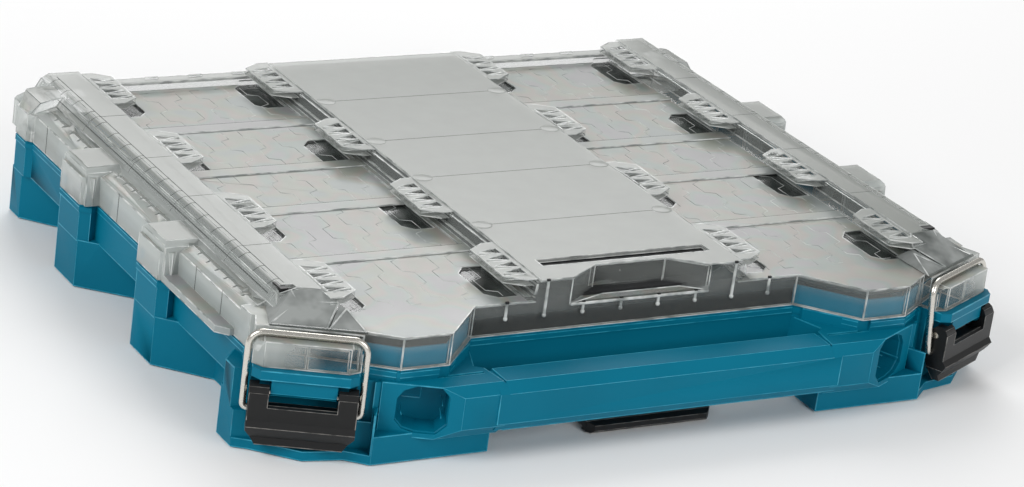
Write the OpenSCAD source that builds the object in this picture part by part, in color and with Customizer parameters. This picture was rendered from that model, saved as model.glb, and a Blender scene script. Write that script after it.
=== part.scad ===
// Saw blade storage case: moulded base tray with a front carry handle, clear lid
// with three stacking rails, two draw latches, rear hinges and a stack release.
// Millimetres. X runs across the front, +Y to the back, Z up, base on Z = 0.

/* [Node] */
// Which node to draw

/* [Case] */
// Overall width across the side bosses
case_w = 556; // [480:1:620]
// Depth from the handle front to the hinge barrels
case_d = 460; // [400:1:520]
// Height of the rim where the lid sits
rim_z = 59; // [50:1:70]
// Height of the lid deck between the rails
deck_z = 81; // [76:1:86]
// Height of the rail tops
rail_z = 94.5; // [90:0.5:100]
// Wall thickness of the base
base_wall = 3; // [2.4:0.2:4]
// Wall thickness of the lid
lid_wall = 2.4; // [2:0.2:3.2]
// Gap kept between the lid and the base rim
lid_gap = 0.4; // [0.3:0.1:0.8]
// Height of the tray underside over the floor
base_z = 1; // [0.6:0.1:2]
// Height of the tray floor inside
floor_z = 6; // [5:0.5:9]

/* [Front] */
// Half width of the recessed front wall
recess_hw = 120.5; // [100:0.5:140]
// Set-back of the recessed wall from the handle front
recess_in = 53; // [46:1:60]
// Set-back of the outer front wall from the handle front
front_in = 20; // [16:1:24]
// Length of the corner chamfer across the front, from the boss face
corner_in = 91; // [84:1:98]
// Depth front to back of the carry handle
grip_d = 27; // [22:1:30]
// Height of the underside of the handle
grip_z0 = 20.5; // [18:0.5:24]
// Height of the top of the handle
grip_z1 = 50.5; // [46:0.5:54]
// Half length of the raised grip section
grip_hw = 120; // [100:1:125]
// How far the grip section stands proud
grip_proud = 1; // [0.6:0.2:1.6]

/* [Rails] */
// Half width of the centre rail between teeth
rail_c = 77.7; // [70:0.1:84]
// Width from a side rail's inner edge to the boss face
rail_side = 60.5; // [56:0.5:64]
// How far a tooth reaches out of its rail
tooth_out = 19; // [14:0.5:22]
// Spacing of the teeth
tooth_p = 111; // [100:0.5:114]
// Length of a tooth at its root
tooth_l = 59; // [50:1:66]
// Thickness of a tooth flange
tooth_t = 4.5; // [3.5:0.5:6]
// Teeth on each rail side
tooth_n = 4; // [2:1:5]

/* [Latch] */
// Angle of the latch faces to the front
latch_a = 25.7; // [20:0.1:32]
// Width of the lever body
lever_w = 66; // [60:1:72]
// Bottom of the lever
lever_z0 = 10; // [8:0.5:14]
// Top of the lever arms
lever_z1 = 50; // [46:0.5:53]
// Wire diameter of the bail
bail_d = 4.2; // [3.5:0.1:5]
// Gap between the lever and each bail leg
bail_gap = 0.8; // [0.5:0.1:2]
// Bend radius at the bail's top corners
bail_r = 9; // [6:0.5:12]
// Height of the bail's top bar, middle of the wire
bail_z = 78.5; // [74:0.5:82]
// Pivot pin diameter
pin_d = 4; // [3:0.1:5]
// Running clearance on the radius
run_c = 0.08; // [0.04:0.01:0.1]

/* [Stack release] */
// Width of the tab plate
tab_w = 92; // [80:1:100]
// Thickness of the tab plate
tab_t = 5; // [4:0.5:6]
// Travel of the tab
tab_travel = 8; // [6:0.5:10]

/* [Blade holder] */
// Diameter of the arbor post
post_d = 15.6; // [12:0.1:15.8]
// Diameter of the blade pocket in the foam
pocket_d = 312; // [260:1:316]
// Knob diameter
knob_d = 46; // [36:1:56]

/* [Hidden] */
$fn = 48;
teal = "#00708a"; teal_hi = "#0f86a0"; clear = [0.78, 0.8, 0.78, 0.55]; black = "#1a1a1a"; steel = "#c9c6bf"; foam = "#222426";
e = 0.02;
hw = case_w/2;              // outer face of the side bosses
corner_x = hw-corner_in;    // half width at the start of the corner chamfer
rail_s = hw-rail_side;
bail_w = lever_w+2*(bail_gap+bail_d);
lb = lever_w/2;             // half width of the latch parts
yf = -case_d/2;             // front of the handle
hinge_r = 5;
hinge_y = case_d/2 - hinge_r;
hinge_z = rim_z + 1.5;
yb = hinge_y - hinge_r + 2; // back wall outside
yr = yf + recess_in;        // recessed front wall
yo = yf + front_in;         // outer front wall
wx = hw - 12;               // side wall of the lid and the rim
boss_y = [[-54, -19], [72, 108]];   // boss front and back ends
cy = -147;                  // back end of the front corner piece
tooth_y0 = yr + 4;          // front end of the first tooth at its root
panel_t = lid_wall;

function rev(p) = [for (i = [len(p)-1:-1:0]) p[i]];
function mir(p) = [for (q = rev(p)) [-q[0], q[1]]];
function unit2(v) = v/norm(v);
// polygon moved inwards by d, corner by corner
function inset(p, d) = let(n = len(p)) [for (i = [0:n-1])
  let(u = unit2(p[i]-p[(i+n-1)%n]), v = unit2(p[(i+1)%n]-p[i]),
      a = [-u[1], u[0]], b = [-v[1], v[0]], k = 1+a*b) p[i] + d*(a+b)/k];

// right half of the lid outline, front to back
function lid_half(b = 0) = concat(
  [[recess_hw, yr], [recess_hw+recess_in-front_in, yo], [corner_x, yo], [wx, cy-12], [wx, boss_y[0][0]]],
  [for (q = boss_y) each [[wx, q[0]], [wx+5+b, q[0]-3], [hw-b, q[0]+2], [hw-b, q[1]-1], [wx, q[1]]]],
  [[wx, yb-38], [hw-8, yb-34], [hw-8, yb-16], [hw-24, yb]]);
function dedupe(p) = [for (i = [0:len(p)-1]) if (norm(p[i]-p[(i+1)%len(p)]) > 0.5) p[i]];
lid_pts = dedupe(concat(lid_half(), mir(lid_half())));
// plain inner outline, clear of every boss
in_half = [[recess_hw+2.2, yr+5], [recess_hw+recess_in-front_in+2.2, yo+5], [corner_x-2, yo+5], [wx-5, cy-8], [wx-5, yb-20], [wx-20, yb-5]];
in_pts = concat(in_half, mir(in_half));

// lower body of the base: a saw-tooth of buttresses down each side
foot_in = 36;
corner_half = [[corner_x+17, yf+13.5], [corner_x+30, yf+24], [corner_x+56, yf+29], [corner_x+81, yf+52], [hw-1, yf+58], [hw-1, yf+78], [hw-foot_in+4, yf+110], [hw-foot_in+4, boss_y[0][0]-foot_in+8]];
function low_half(front) = concat(front, corner_half,
  [[hw-1, boss_y[0][0]+2], [hw-1, boss_y[0][1]-1], [hw-foot_in, boss_y[0][1]-1], [hw-foot_in, boss_y[1][0]-foot_in+8]],
  [[hw-1, boss_y[1][0]+2], [hw-1, boss_y[1][1]-1], [hw-foot_in, boss_y[1][1]-1], [hw-foot_in, yb-34-24]],
  [[hw-9, yb-30], [hw-9, yb-14], [hw-24, yb]]);
low_foot = low_half([[recess_hw+2, yr], [recess_hw+2, yf+13.5]]);
low_body = low_half([[recess_hw, yr], [recess_hw+24, yf+30], [corner_x+10, yf+24]]);
low_pts = concat(low_foot, mir(low_foot));
mid_pts = concat(low_body, mir(low_body));

module at_latch(s) { translate([s*(corner_x+59.5), yf+29, 0]) rotate([0, 0, s*latch_a]) children(); }
module both() { for (s = [-1, 1]) scale([1, 1, 1]) mirror([s < 0 ? 1 : 0, 0, 0]) children(); }
module slab(p, z0, z1) { translate([0, 0, z0]) linear_extrude(z1-z0) polygon(p); }
module bx(x0, x1, y0, y1, z0, z1) { translate([x0, y0, z0]) cube([x1-x0, y1-y0, z1-z0]); }
// profile in x-z drawn along y
module along_y(p, y0, y1) { translate([0, y1, 0]) rotate([90, 0, 0]) linear_extrude(y1-y0) polygon(p); }
// profile in y-z drawn along x
module along_x(p, x0, x1) { translate([x0, 0, 0]) rotate([90, 0, 90]) linear_extrude(x1-x0) polygon(p); }
module rod_x(d, x0, x1, y, z) { translate([x0, y, z]) rotate([0, 90, 0]) cylinder(d = d, h = x1-x0); }

// lever pivot and bail pivot in the latch's own frame
pv_y = 5.2; pv_z = 43;
bl_y = 7; bl_z = 31;
ear_r = 3.9;
bail_in = lever_w/2-0.5;
// release tab
tab_z = 3.2;
tab_y0 = yr-34; tab_y1 = yr+16;
spring_x = [-30, 30]; spring_in = 14;
keep_x = tab_w/2+8;
post_y = 22;
// ---- hinge stations on the back edge
hinge_x = [-150, 150];
kn = 11;     // width of one knuckle
kg = 0.5;    // side gap between knuckles

/* ---------------- base ---------------- */
module handle_solid() {
  // front beam, corner blocks and their tops
  beam = [[yf, grip_z0+5], [yf+3, grip_z0], [yf+grip_d-3, grip_z0], [yf+grip_d, grip_z0+4], [yf+grip_d, grip_z1-4], [yf+grip_d-3, grip_z1], [yf+6, grip_z1], [yf, grip_z1-5]];
  along_x(beam, -recess_hw-6, recess_hw+6);
  // raised grip section
  grip = [[yf-grip_proud+0, grip_z0+5], [yf+3, grip_z0-grip_proud], [yf+grip_d-3, grip_z0-grip_proud], [yf+grip_d+grip_proud, grip_z0+4], [yf+grip_d+grip_proud, grip_z1-4], [yf+grip_d-3, grip_z1+grip_proud], [yf+6, grip_z1+grip_proud], [yf-grip_proud+0, grip_z1-5]];
  translate([0, grip_proud, 0]) along_x(grip, -grip_hw, grip_hw);
  // corner blocks with their diagonal outer face
  for (s = [-1, 1]) mirror([s < 0 ? 1 : 0, 0, 0]) {
    blk = [[grip_hw+0.5, yf+0.6], [151, yf+0.6], [197, yf+23], [197, yr+6], [recess_hw-2, yr+6], [recess_hw+1, yr-2], [recess_hw+9, yf+grip_d+4], [recess_hw+4, yf+grip_d]];
    intersection() {
      slab(blk, grip_z0-4, grip_z1+1);
      along_x([[yf+0.4, grip_z0+4], [yf+8, grip_z0-4], [yr+10, grip_z0-4], [yr+10, grip_z1+1], [yf+7, grip_z1+1], [yf+0.4, grip_z1-5]], 0, hw);
    }
    // shoulder that carries the block top up to the rim
    slab([[recess_hw+4, yr-6], [recess_hw+33, yo+1], [corner_x+2, yo+1], [corner_x+2, yr], [recess_hw+4, yr]], grip_z1-2, rim_z);
  }
}
module lash_eye_cut() {
  // upright rounded pocket in the slanted face of each corner block
  zm = (grip_z0+grip_z1)/2;
  both() translate([174, yf+11.6, zm]) rotate([0, 0, 26]) translate([0, -4, 0]) rotate([-90, 0, 0])
    linear_extrude(19) union() { square([24, 8], center = true); for (v = [-3, 3]) translate([0, v]) circle(r = 12); }
}
module latch_pocket() {
  for (s = [-1, 1]) at_latch(s) slab([[-lb-11, -34], [lb+11, -34], [lb+11, 14], [-lb-11, 14]], lever_z0-3, rim_z+1);
}
module base_hull() {
  slab(low_pts, base_z, grip_z0-1);
  slab(mid_pts, grip_z0-1-e, rim_z-25);
  // upper band, with the corner carried up behind the latch
  slab(inset(lid_pts, 0.6), rim_z-26, rim_z-3);
  both() slab([[corner_x, yo+2], [corner_x+10, yf+24], [corner_x+30, yf+26], [corner_x+56, yf+32], [corner_x+80, yf+54], [hw-1, yf+60], [hw-1, yf+76], [wx-8, yf+96], [wx-20, yf+70]], rim_z-26, rim_z-8);
  // rim bead, stepped in at the top
  slab(lid_pts, rim_z-5, rim_z-1.2);
  slab(inset(lid_pts, 0.8), rim_z-1.2-e, rim_z);
}
module latch_mount() {
  for (s = [-1, 1]) at_latch(s) {
    // corner wall behind the lever
    slab([[-lb-5, 14], [lb+5, 14], [lb+5, 32], [-lb-5, 32]], lever_z0+2, rim_z-2);
    // shelf under the lid block, with chamfered ends
    slab([[-lb-4, 8], [6-lb, -1], [lb-6, -1], [lb+4, 8], [lb+4, 24], [-lb-4, 24]], rim_z-6, rim_z);
    // keeper lug that drops into the lever notch
    along_x([[0.6, rim_z-5], [0.6, pv_z+1], [2.6, pv_z-1], [15, pv_z-1], [15, rim_z-5]], 13-lb, lb-13);
    // pivot ears inside the lever arms
    for (x = [-1, 1]) {
      rod_x(ear_r*2, x*(lb-9)-2.5, x*(lb-9)+2.5, pv_y, pv_z);
      bx(x*(lb-9)-2.5, x*(lb-9)+2.5, pv_y, 15, pv_z-ear_r, pv_z-0.4);
    }
  }
}
module base_tray() color(teal) {
  difference() {
    union() {
      difference() { union() { base_hull(); handle_solid(); } latch_pocket(); }
      latch_mount();
      // boss over the release tab and its springs
      bx(-tab_w/2-22, tab_w/2+22, yr+1, yr+44, base_z, floor_z+7);
    }
    // inside of the tray
    difference() {
      slab(inset(in_pts, 0.5), rim_z-22, rim_z+1);
      // stiffening webs in the corners
      both() bx(wx-46, wx-44, yb-60, yb, rim_z-30, rim_z-8);
    }
    difference() {
      bx(-hw+foot_in+4, hw-foot_in-4, yr+5, yb-5, floor_z, rim_z);
      bx(-tab_w/2-22, tab_w/2+22, yr+1, yr+44, 0, floor_z+7);
    }
    // gasket groove all round
    lash_eye_cut();
    // scallops for the fingers on the rear top edge of the handle
    for (x = [-90:36:90]) translate([x, yf+grip_d+7, grip_z1-6]) rotate([45, 0, 0]) cylinder(r = 15, h = 10, center = true);
    // narrow groove on each corner block
    both() bx(128, 160, yf+20, yf+22.2, grip_z1-1, rim_z+5);
    for (s = [-1, 1]) at_latch(s) {
      rod_x(pin_d, -lever_w/2-3, lever_w/2+3, pv_y, pv_z);
      // clearance for the bail legs
      for (x = [-1, 1]) slab([[x*bail_in, -8], [x*(lb+10), -8], [x*(lb+10), 18], [x*bail_in, 18]], bl_z-6, rim_z+2);
    }
    // screw down the middle of the blade post
    translate([0, post_y, -1]) { cylinder(d = 5, h = 20); cylinder(d = 9.8, h = floor_z-3+1); }
    // pockets for the feet
    foot_at() cylinder(d = 18.4, h = 2.5);
    // slot for the release tab, its keeper and its screws
    bx(-tab_w/2-0.5, tab_w/2+0.5, yr-40, yr+26, tab_z-0.3, tab_z+tab_t+0.5);
    bx(-tab_w/2-16, tab_w/2+16, yr+3, yr+40, -1, tab_z-0.3);
    for (x = [-1, 1]) translate([x*keep_x, yr+21, 0]) cylinder(d = 3, h = 9);
    for (x = spring_x) translate([x, yr+10, tab_z+3]) rotate([-90, 0, 0]) cylinder(d = 5.6, h = 28);
    // back hinge barrels' clearance
    for (hx = hinge_x) bx(hx-kn*1.5-kg*2, hx+kn*1.5+kg*2, yb-2.6, yb+20, hinge_z-hinge_r-1.2, rim_z+9);
  }
  // back hinge knuckles: two on the base at each station
  for (hx = hinge_x, x = [-kn, kn]) difference() {
    union() {
      rod_x(hinge_r*2, hx+x-kn/2, hx+x+kn/2, hinge_y, hinge_z);
      bx(hx+x-kn/2, hx+x+kn/2, yb-3.4, hinge_y, hinge_z-hinge_r, hinge_z-1.6);
    }
    rod_x(pin_d, hx+x-kn/2-1, hx+x+kn/2+1, hinge_y, hinge_z);
  }
}

/* ---------------- lid ---------------- */
shoulder_z = deck_z-1.5;
rib_y0 = -100; rib_p = 76;
// rail cross-sections as open shells
function shell_up(p, t) = concat(p, rev([for (i = [0:len(p)-1]) [p[i][0]+(i == 0 ? t : i == len(p)-1 ? -t : 0), p[i][1]-(i == 0 || i == len(p)-1 ? 0 : t)]]));
module centre_rail() {
  r = rail_c;
  out = [[-r-6, deck_z-e], [-r-1, deck_z+4], [-r, rail_z-2.5], [-r+3, rail_z], [r-3, rail_z], [r, rail_z-2.5], [r+1, deck_z+4], [r+6, deck_z-e]];
  inn = [[-r-6+lid_wall+1, deck_z-4], [-r-1+lid_wall+0.6, deck_z+3], [-r+lid_wall, rail_z-3.4], [-r+4, rail_z-lid_wall], [r-4, rail_z-lid_wall], [r-lid_wall, rail_z-3.4], [r+1-lid_wall-0.6, deck_z+3], [r+6-lid_wall-1, deck_z-4]];
  difference() {
    union() {
      along_y(out, yr, yb-6);
      // front wall continues down to the rim
      bx(-recess_hw, recess_hw, yr, yr+lid_wall, rim_z+lid_gap, deck_z);
    }
    along_y(inn, yr+lid_wall, yb-6-lid_wall);
    // slot near the front
    bx(-69, 69, yr+22, yr+27, rail_z-6, rail_z+1);
    // front notch
    slab([[-45, yr-1], [45, yr-1], [36, yr+17], [-36, yr+17]], rail_z-11, rail_z+1);
  }
  // floor and walls of the notch
  difference() {
    slab([[-47.4, yr], [47.4, yr], [38, yr+17+lid_wall], [-38, yr+17+lid_wall]], rail_z-13.4, rail_z-0.5);
    slab([[-45, yr-1], [45, yr-1], [36, yr+17], [-36, yr+17]], rail_z-11, rail_z+1);
  }
}
module tooth(t = tooth_out) {
  // truss flange: a slanted-end plate with triangular pockets between webs
  l = tooth_l;
  difference() {
    translate([0, 0, -tooth_t]) linear_extrude(tooth_t) polygon([[-2, 0], [t*0.35, 0], [t, 8], [t, l-8], [t*0.35, l], [-2, l]]);
    for (i = [0:3]) let(y = 8+i*(l-16)/4, w = (l-16)/4)
      translate([0, 0, -tooth_t+1.4]) linear_extrude(tooth_t) {
        polygon([[1.5, y+1.2], [t-3.4, y+w/2-0.2], [1.5, y+w-1.2]]);
        polygon([[t-1.6, y+1], [t-1.6, y+w/2-1.8], [4, y+0.2]]);
      }
    for (i = [0:5]) bx(t-0.9, t+1, 10+i*(l-20)/6+1, 10+(i+1)*(l-20)/6-1, -tooth_t+1.2, -1.2);
  }
}
module teeth(x, dir) {
  for (k = [0:tooth_n-1]) translate([x, tooth_y0+k*tooth_p, rail_z-0.6]) mirror([dir < 0 ? 1 : 0, 0, 0]) tooth();
}
module side_rail() {
  // right-hand side rail, hollow below
  r = rail_s;
  out = [[r-6, deck_z-e], [r-1, deck_z+4], [r, rail_z-2], [r+2.5, rail_z], [r+25, rail_z], [r+30, rail_z-3], [r+34, deck_z+4], [wx-9, deck_z+1.5], [wx-1.5, shoulder_z], [wx, shoulder_z-1.5], [wx, rim_z+lid_gap], [wx-lid_wall, rim_z+lid_gap],
    [wx-lid_wall, shoulder_z-3], [wx-9, deck_z-1.6], [r+32, deck_z+1.2], [r+28.6, rail_z-5.6], [r+24, rail_z-lid_wall], [r+3.2, rail_z-lid_wall], [r+lid_wall, rail_z-4], [r+lid_wall-1, deck_z+3], [r-2.4, deck_z-2.4], [r-6, deck_z-2.4]];
  difference() {
    along_y(out, cy-2, yb);
    // ladder channel with its cells
    for (i = [0:3]) bx(r+35, r+43, -40+i*0+[-92, -10, 116, 190][i], [-92, -10, 116, 190][i]-40+4, deck_z+1, deck_z+9);
  }
  // cross bars of the ladder
  for (y = [cy+14:13:yb-26]) bx(r+33, r+42, y, y+1.6, deck_z-1, deck_z+3.4);
}
module front_corner() {
  // sloped facets from the rail down to the latch
  r = rail_s;
  difference() {
    union() {
      // flat front apron between the rails and the skirt
      slab([[rail_c-2, yr], [recess_hw, yr], [recess_hw+recess_in-front_in, yo], [corner_x, yo], [wx, cy-12], [wx, cy+2], [r-8, cy+2], [r-8, yr+6], [rail_c-2, yr+6]], deck_z-lid_wall, deck_z+0.6);
      // nose of the side rail
      intersection() {
        along_y([[r, deck_z-2], [r, rail_z-2], [r+2.5, rail_z], [r+25, rail_z], [r+30, rail_z-3], [r+34, deck_z+4], [r+34, deck_z-2]], yo, cy);
        translate([r+18, yo+31, deck_z]) rotate([0, 0, latch_a]) rotate([30, 0, 0]) translate([-60, 0, -60]) cube([140, 90, 60]);
      }
    }
    // hollow below the nose
    intersection() {
      along_y([[r+lid_wall, deck_z-3], [r+lid_wall, rail_z-4], [r+4, rail_z-lid_wall], [r+24, rail_z-lid_wall], [r+28, rail_z-5], [r+31.5, deck_z+3], [r+31.5, deck_z-3]], yo, cy-2-e);
      translate([r+18, yo+31, deck_z-lid_wall*1.3]) rotate([0, 0, latch_a]) rotate([30, 0, 0]) translate([-60, 0, -60]) cube([140, 90, 60]);
    }
    // black window in the nose
    translate([r+17, cy-7, rail_z-4]) cube([11, 12, 8]);
  }
}
module lid_boss(q) {
  // square boss on the right side, open below and to the inside
  difference() {
    along_x([[q[0]-3, rim_z+lid_gap], [q[1], rim_z+lid_gap], [q[1], deck_z+1], [q[1]-3, deck_z+4.3], [q[0]+3, deck_z+4.3], [q[0]-1, deck_z+1]], wx-24, hw-2);
    along_x([[q[0]-0.5, rim_z-1], [q[1]-lid_wall, rim_z-1], [q[1]-lid_wall, deck_z-0.4], [q[1]-4, deck_z+1.9], [q[0]+4, deck_z+1.9], [q[0]+1.6, deck_z-0.4]], wx-30, hw-2-lid_wall);
    // outer top edge eased off
    translate([hw-4, q[0]-10, deck_z+4.3]) rotate([0, 45, 0]) cube([8, q[1]-q[0]+20, 8]);
  }
}
module latch_block() {
  for (s = [-1, 1]) at_latch(s) difference() {
    union() {
      slab([[-lb, 9], [7-lb, 3.9], [lb-7, 3.9], [lb, 9], [lb, 34], [-lb, 34]], rim_z+lid_gap, bail_z-bail_d/2-0.4);
      slab([[-lb, 14.5], [lb, 14.5], [lb, 34], [-lb, 34]], rim_z+lid_gap, deck_z+0.6);
    }
    // hollow from below, with the middle rib left
    for (x = [[2.4-lb, -0.9], [0.9, lb-2.4]]) bx(x[0], x[1], 11.4, 31.6, rim_z-2, bail_z-bail_d/2-3);
    for (x = [[8.6-lb, -0.9], [0.9, lb-8.6]]) bx(x[0], x[1], 6.3, 12, rim_z-2, bail_z-bail_d/2-3);
  }
}
module lid_shell() color(clear) {
  difference() {
    union() {
      difference() {
        union() {
          // skirt
          difference() {
            slab(lid_pts, rim_z+lid_gap, deck_z-lid_wall+0.2);
            slab(inset(lid_pts, lid_wall), rim_z-1, deck_z+2);
          }
          // deck between the rails
          both() bx(rail_c-2, rail_s-3, yr+4, yb-8, deck_z-panel_t, deck_z);
          // back wall with its small bumps
          bx(-wx+20, wx-20, yb-10, yb-10+lid_wall, deck_z-3, deck_z+6);
          bx(-wx+20, wx-20, yb-10, yb, deck_z+3.6, deck_z+6);
          bx(-wx+20, wx-20, yb-lid_wall, yb, rim_z+lid_gap, deck_z+6);
          for (x = [-170:34:170]) translate([x, yb-3, deck_z+6]) rotate([0, 90, 0]) cylinder(d = 3, h = 10);
        }
        // space under the centre rail
        bx(-rail_c-4, rail_c+4, yr+lid_wall, yb-lid_wall, rim_z, deck_z+2);
      }
      centre_rail();
      both() { side_rail(); front_corner(); for (q = boss_y) lid_boss(q); }
      latch_block();
      teeth(rail_c-1, 1); teeth(-rail_c+1, -1);
      teeth(rail_s+1, -1); teeth(-rail_s-1, 1);
      // low ledge along the front side bays
      both() slab([[wx-3, -140], [wx+3, -140], [hw-2, -133], [hw-2, boss_y[0][0]+1], [wx-3, boss_y[0][0]+1]], rim_z+lid_gap, rim_z+5);
      // ribs across the deck, in pairs
      for (k = [0:3]) both() for (d = [0, 6]) bx(rail_c+2, rail_s-2, rib_y0+k*rib_p+d, rib_y0+k*rib_p+d+1.4, deck_z-0.5, deck_z+0.8);
      // thin vertical ribs on the front wall
      for (x = [-112:28:112]) bx(x-0.8, x+0.8, yr-1, yr+1, rim_z+lid_gap+2, deck_z+8 > rail_z-12 ? rail_z-13 : deck_z);
      // corner blocks at the back
      both() intersection() {
        slab([[rail_s+10, yb-44], [hw-9, yb-34], [hw-9, yb-16], [hw-25, yb], [rail_s+10, yb]], rim_z+6, rail_z);
        along_y([[rail_s+10, rim_z+6], [hw-8, rim_z+6], [hw-8, deck_z-4], [hw-16, deck_z+6], [rail_s+22, rail_z], [rail_s+10, rail_z]], yb-50, yb+1);
        along_x([[yb-50, rim_z], [yb+1, rim_z], [yb+1, deck_z], [yb-12, deck_z+9], [yb-24, rail_z], [yb-50, rail_z]], 0, hw);
      }
    }
    // openings in the deck below the teeth
    for (k = [0:tooth_n-1]) both() for (q = [[rail_c+7, 1], [rail_s-7, -1]])
      translate([q[0], tooth_y0+k*tooth_p, deck_z-panel_t-1]) mirror([q[1] < 0 ? 1 : 0, 0, 0])
        linear_extrude(6) polygon([[0, 5], [tooth_out-5, 5], [tooth_out+2, 12], [tooth_out+2, tooth_l-14], [tooth_out-5, tooth_l-6], [0, tooth_l-6]]);
    // keep the lid above the rim and clear of the hinge barrels
    for (hx = hinge_x) bx(hx-kn*1.5-kg*2, hx+kn*1.5+kg*2, yb-0.2, yb+20, rim_z-2, rim_z+9);
    for (hx = hinge_x, x = [-kn, kn]) rod_x(hinge_r*2+1.2, hx+x-kn/2-kg, hx+x+kn/2+kg, hinge_y, hinge_z);
    // clearance for the bail legs
    for (s = [-1, 1], x = [-1, 1]) at_latch(s) slab([[x*(lb+0.4), -4], [x*(lb+11), -4], [x*(lb+11), 17.5], [x*(lb+0.4), 17.5]], rim_z-2, rail_z);
    for (s = [-1, 1], x = [-1, 1]) at_latch(s) mirror([x < 0 ? 1 : 0, 0, 0]) difference() {
      xc = bail_w/2-bail_d/2-bail_r; zc = bail_z-bail_r;
      bx(xc, lb+6, -1, 14.9, zc, rail_z+1);
      translate([xc, -2, zc-0.4]) rotate([-90, 0, 0]) cylinder(r = bail_r-bail_d/2-0.4, h = 30);
    }
    for (s = [-1, 1]) at_latch(s) bx(-lb-0.5, lb+0.5, -1, 14.9, bail_z-bail_d/2-0.3, rail_z+1);
    // seat of the gasket
    gasket_ring(0.06);
  }
  // one lid knuckle at each station
  for (hx = hinge_x) difference() {
    union() {
      rod_x(hinge_r*2, hx-kn/2+kg, hx+kn/2-kg, hinge_y, hinge_z);
      bx(hx-kn/2+kg, hx+kn/2-kg, yb-2, hinge_y+1, hinge_z+0.5, hinge_z+hinge_r);
    }
    rod_x(pin_d+2*run_c, hx-kn, hx+kn, hinge_y, hinge_z);
  }
}
module gasket_ring(c = 0) difference() {
  slab(inset(in_pts, -2.54-c), rim_z+lid_gap-2*c, rim_z+7+c);
  slab(inset(in_pts, 3.2+c), rim_z-1, rim_z+9);
}
module lid_gasket() color(black) gasket_ring();
module hinge_pins() color(steel) for (hx = hinge_x) rod_x(pin_d, hx-kn*1.5-0.6, hx+kn*1.5+0.6, hinge_y, hinge_z);

/* ---------------- latches ---------------- */
module latch_lever(s) color(black) at_latch(s) difference() {
  union() {
    // body profile, drawn across the lever
    along_x([[4, 34], [-1.5, 37], [-3.5, 36], [-3.5, 27], [-6, 23.5], [-2.2, 17.5], [0, 15], [0, lever_z0], [5, lever_z0], [7, 17], [10, 26], [10, 34]], -lever_w/2, lever_w/2);
    for (x = [-lever_w/2, lever_w/2-12]) along_x([[-3.5, 30], [-3.5, lever_z1-5], [-1.5, lever_z1-1.5], [1, lever_z1], [5, lever_z1], [8.4, lever_z1-3.2], [10, pv_z-4], [10, 30]], x, x+12);
  }
  // lower corners cut at a slant
  for (x = [-1, 1]) mirror([x < 0 ? 1 : 0, 0, 0]) translate([lever_w/2-7, -10, lever_z0-1]) rotate([0, 32, 0]) cube([20, 30, 40]);
  // relief for the ears on the base
  for (x = [-1, 1]) { rod_x(ear_r*2+1.2, x*(lb-9)-3.1, x*(lb-9)+3.1, pv_y, pv_z); bx(x*(lb-9)-3.1, x*(lb-9)+3.1, pv_y, 14, 35.6, 60); bx(x*(lb-9)-3.1, x*(lb-9)+3.1, 0.6, 14, pv_z, 60); }
  bx(12-lb, lb-12, -1, 14, 36, 60);
  bx(12-lb, lb-12, -10, 14, 38, 60);
  rod_x(pin_d+2*run_c, -lever_w/2-1, lever_w/2+1, pv_y, pv_z);
  for (x = [-1, 1]) rod_x(bail_d+2*run_c, x*lever_w/2-6.2, x*lever_w/2+6.2, bl_y, bl_z);
}
module latch_bail(s) color(steel) at_latch(s) {
  r = bail_r; d = bail_d; xo = bail_w/2-d/2; yy = 12.2; rb = xo-lb;
  // legs lean back from the lever pivot to the top bar
  rake = atan2(yy-bl_y, bail_z-bl_z); len = norm([yy-bl_y, bail_z-bl_z]);
  translate([0, bl_y, bl_z]) rotate([-rake, 0, 0]) {
    for (x = [-1, 1]) mirror([x < 0 ? 1 : 0, 0, 0]) {
      translate([xo-r, 0, len-r]) rotate([90, 0, 0]) rotate_extrude(angle = 90) translate([r, 0]) circle(d = d);
      translate([xo, 0, rb]) cylinder(d = d, h = len-r-rb);
      translate([xo-rb, 0, rb]) rotate([90, 90, 0]) rotate_extrude(angle = 90) translate([rb, 0]) circle(d = d);
      translate([lb-5, 0, 0]) rotate([0, 90, 0]) cylinder(d = d, h = 5);
    }
    translate([-xo+r, 0, len]) rotate([0, 90, 0]) cylinder(d = d, h = 2*(xo-r));
  }
}
module latch_pin(s) color(steel) at_latch(s) rod_x(pin_d, -lever_w/2+1, lever_w/2-1, pv_y, pv_z);

/* ---------------- stack release ---------------- */
module stack_tab() color(black) difference() {
  union() {
    bx(-tab_w/2, tab_w/2, tab_y0+6, tab_y1, tab_z, tab_z+tab_t);
    // lip that the finger pushes
    along_x([[tab_y0, tab_z-0.6], [tab_y0+1.6, 1], [tab_y0+9, 1], [tab_y0+9, tab_z+tab_t], [tab_y0+4, tab_z+tab_t], [tab_y0, tab_z+tab_t-2]], -tab_w/2, tab_w/2);
  }
  for (x = [-1, 1]) translate([x*tab_w/2, tab_y0, -1]) rotate([0, 0, 45]) cube([6, 6, 30], center = true);
  // spring seats in the back edge
  for (x = spring_x) translate([x, tab_y1-spring_in, tab_z+3]) rotate([-90, 0, 0]) cylinder(d = 5.6, h = 40);
  for (x = spring_x) bx(x-2.8, x+2.8, tab_y1-spring_in, tab_y1+1, tab_z+3, tab_z+tab_t+1);
}
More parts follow.
